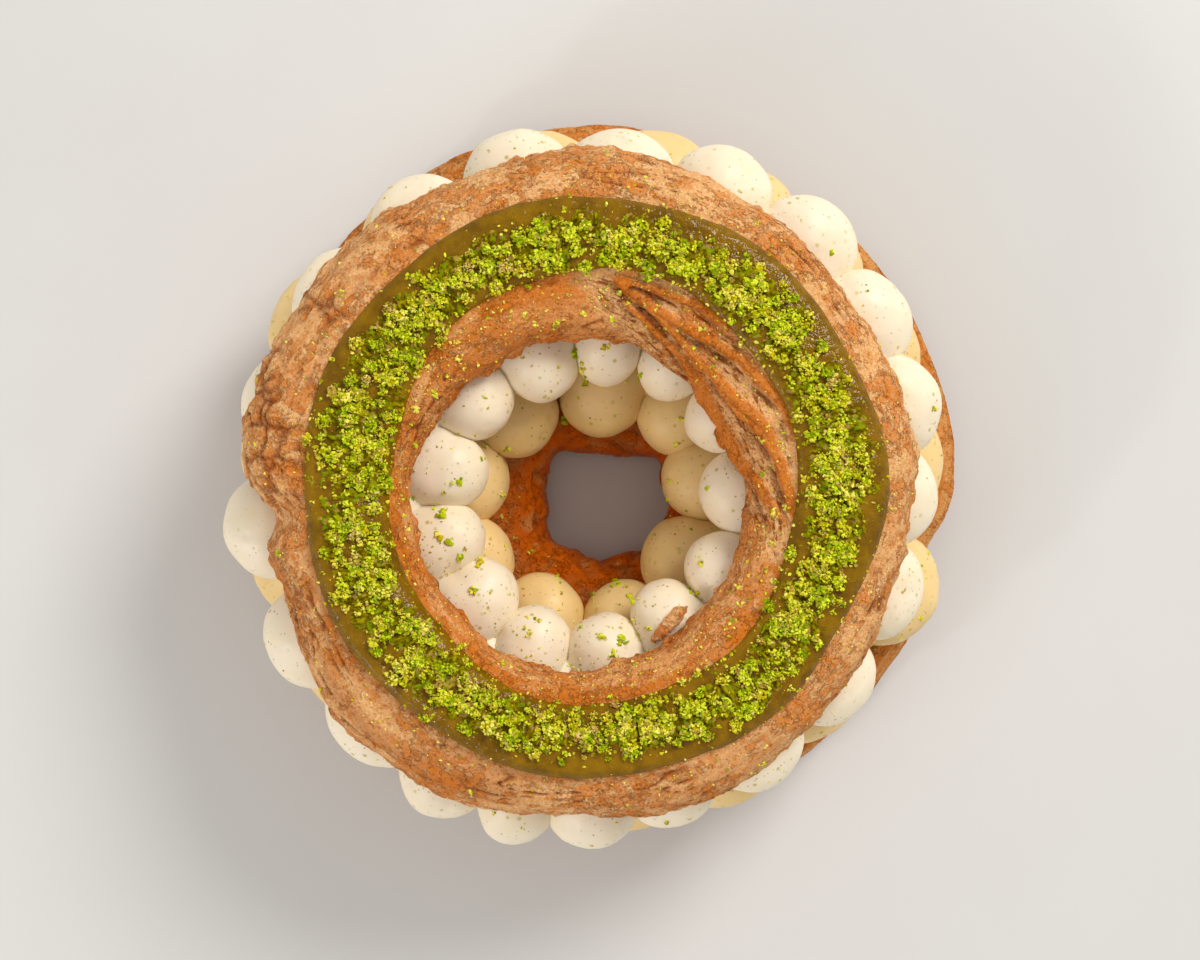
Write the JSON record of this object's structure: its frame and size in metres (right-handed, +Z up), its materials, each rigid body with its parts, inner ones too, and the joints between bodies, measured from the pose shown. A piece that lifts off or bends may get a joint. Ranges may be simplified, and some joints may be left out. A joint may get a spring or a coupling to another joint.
{
  "type": "paris-brest pastry",
  "caption": "Ring-shaped choux pastry split in two, filled with tiers of piped cream balls and topped with a band of pistachio glaze and crushed nuts.",
  "frame": {"origin": "under the middle of the overall box, on the board that the base rests on", "axes": "+Z up through the ring's hole; +X is the right of the picture and +Y its top; the piping seam of the lid lies towards +Y"},
  "size_m": [0.2036, 0.2017, 0.0896],
  "materials": {
    "choux_base": "baked choux crust, golden brown, satin and deeper brown round the hole",
    "hazel_cream": "smooth piped cream, pale tan with fine nut specks",
    "white_cream": "smooth piped cream, ivory with fine nut specks",
    "choux_lid": "baked choux crust, sandy and finely porous with orange-brown ridges",
    "pistachio_glaze": "glossy olive pistachio glaze under matte bright green crushed pistachio"
  },
  "bodies": {
    "root": {"choux_base": "choux_base", "cream_lower": "hazel_cream", "cream_upper": "white_cream", "choux_lid": "choux_lid", "pistachio_glaze": "pistachio_glaze"}
  },
  "joints": []
}
